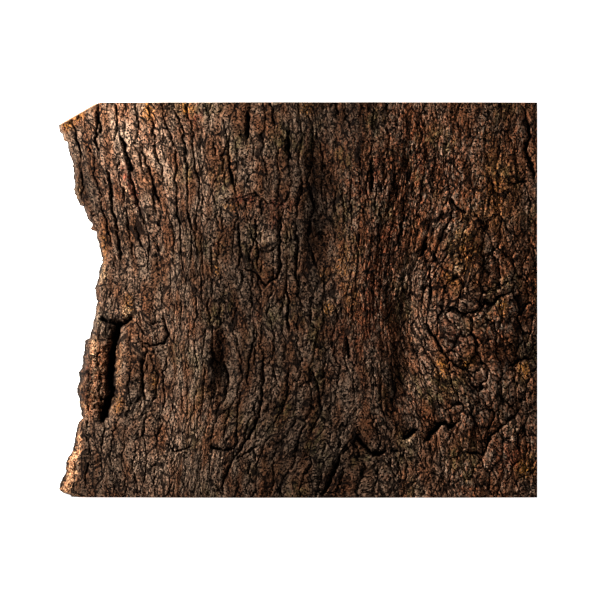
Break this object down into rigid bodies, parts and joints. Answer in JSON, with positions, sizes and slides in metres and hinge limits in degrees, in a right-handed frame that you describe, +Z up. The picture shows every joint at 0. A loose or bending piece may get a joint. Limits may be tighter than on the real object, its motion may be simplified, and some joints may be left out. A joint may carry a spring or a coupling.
{
  "type": "piece of bark",
  "caption": "Slab of virgin cork oak bark with sawn sides, a torn edge, a fissured outer face and a branch scar, lying on its inner face.",
  "frame": {"origin": "middle of the box's underside, in the plane of the three low spots that the slab rests on", "axes": "+X across the grain, from the torn edge to the opposite sawn side; +Y along the grain; +Z up through the outer face"},
  "size_m": [0.48, 0.3956, 0.0488],
  "materials": {
    "bark": "rough weathered cork, matte, with paler tan cork where it is broken"
  },
  "bodies": {
    "root": {"bark": "bark"}
  },
  "joints": []
}
